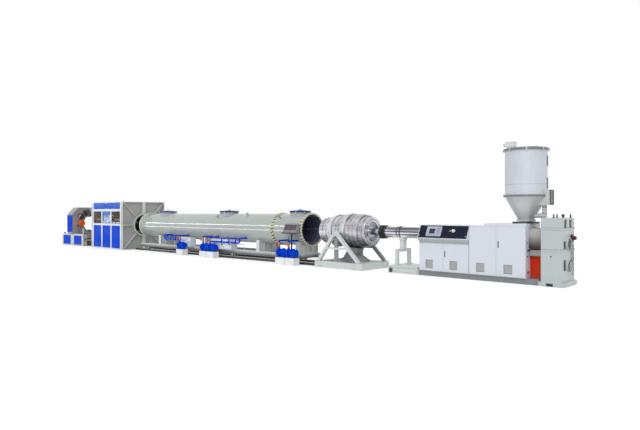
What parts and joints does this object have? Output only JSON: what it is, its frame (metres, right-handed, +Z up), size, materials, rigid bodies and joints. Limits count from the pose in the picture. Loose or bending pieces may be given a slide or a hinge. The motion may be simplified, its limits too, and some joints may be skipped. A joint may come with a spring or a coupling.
{
  "type": "jacket pipe production line",
  "caption": "Production line for large plastic jacket pipe: extruder with hopper and cabinets, die head, long cooling tank, tracked haul-off and saw cutter in one row",
  "frame": {"origin": "On the floor under the middle of the row's length, on the pipe's centre line.", "axes": "+Z up, +X from the cutter to the extruder along the pipe, +Y away from the side with the console."},
  "size_m": [30.652, 2.572, 4.1],
  "materials": {
    "tank_shell": "glossy pale grey paint",
    "ring_paint": "cream paint with yellow and black stripes",
    "blue_paint": "satin blue paint",
    "white_paint": "satin white paint",
    "grey_paint": "satin grey paint",
    "stand_paint": "satin pale grey-green paint",
    "gearbox_paint": "satin pale grey paint",
    "dark_paint": "black paint",
    "navy_plate": "satin navy paint",
    "red_paint": "glossy red paint",
    "orange_paint": "glossy orange paint",
    "oil_pump_paint": "dark red paint",
    "die_steel": "ground steel with a bright turned face",
    "stainless": "brushed stainless sheet",
    "bare_steel": "machined steel",
    "track_rubber": "matt black rubber pads",
    "window_glass": "clear safety glass",
    "control_plastic": "dark plastic"
  },
  "bodies": {
    "line": {"tank_front_shell": "tank_shell", "tank_rear_shell": "tank_shell", "manhole_covers": "blue_paint", "tank_rings": "ring_paint", "spray_pipes": "stainless", "tank_saddles": "stand_paint", "tank_frame": "stand_paint", "tank_wheels": "bare_steel", "floor_rails": "bare_steel", "water_boxes": "white_paint", "pumps": "blue_paint", "water_pipes": "blue_paint", "console_box": "white_paint", "console_post": "dark_paint", "die_lip": "die_steel", "die_mandrel": "die_steel", "die_body": "die_steel", "die_neck": "die_steel", "die_heater_bands": "stainless", "die_trestles": "stand_paint", "die_stand_frame": "stand_paint", "die_clamp": "dark_paint", "barrel_cover": "stainless", "barrel_stand": "stand_paint", "extruder_base": "grey_paint", "control_cabinet": "white_paint", "drive_cabinet": "white_paint", "desk_panel": "navy_plate", "desk_controls": "control_plastic", "drive_motor": "grey_paint", "coupling_guard": "red_paint", "thrust_housing": "gearbox_paint", "gearbox_housing": "gearbox_paint", "oil_pump": "oil_pump_paint", "hopper_cylinder": "stainless", "hopper_cone": "stainless", "hopper_lid": "stainless", "hopper_loader": "grey_paint", "hopper_blower": "grey_paint", "feed_throat": "bare_steel", "haul_off_end_plates": "grey_paint", "haul_off_side_frames": "white_paint", "haul_off_panels": "blue_paint", "haul_off_glass": "window_glass", "haul_off_roof": "white_paint", "track_loops": "track_rubber", "track_frames": "bare_steel", "cutter_beams": "white_paint", "cutter_panels": "blue_paint", "cutter_crosses": "grey_paint", "cutter_ties": "stand_paint"},
    "control_door_left": {"control_door_left": "white_paint"},
    "control_door_right": {"control_door_right": "white_paint"},
    "drive_door_left": {"drive_door_left": "white_paint"},
    "drive_door_right": {"drive_door_right": "white_paint"},
    "cutter_carriage": {"cutter_carriage": "grey_paint", "carriage_covers": "blue_paint"},
    "saw_rotor": {"saw_ring": "bare_steel", "saw_unit": "dark_paint", "saw_motor": "orange_paint"}
  },
  "joints": [
    {"name": "control_left_hinge", "type": "hinge", "parent": "line", "child": "control_door_left", "pos_m": [10.79, -0.559, 0.62], "axis": [0, 0, -1], "range_deg": [0, 110]},
    {"name": "control_right_hinge", "type": "hinge", "parent": "line", "child": "control_door_right", "pos_m": [12.485, -0.559, 0.62], "axis": [0, 0, 1], "range_deg": [0, 90]},
    {"name": "drive_left_hinge", "type": "hinge", "parent": "line", "child": "drive_door_left", "pos_m": [12.529, -0.559, 0.62], "axis": [0, 0, -1], "range_deg": [0, 90]},
    {"name": "drive_right_hinge", "type": "hinge", "parent": "line", "child": "drive_door_right", "pos_m": [14.212, -0.559, 0.62], "axis": [0, 0, 1], "range_deg": [0, 110]},
    {"name": "carriage_slide", "type": "slide", "parent": "line", "child": "cutter_carriage", "axis": [1, 0, 0], "range_m": [-0.65, 0.9]},
    {"name": "saw_ring_turn", "type": "hinge", "parent": "cutter_carriage", "child": "saw_rotor", "pos_m": [-13.815, 0, 1.355], "axis": [1, 0, 0], "range_deg": [-180, 180]}
  ]
}
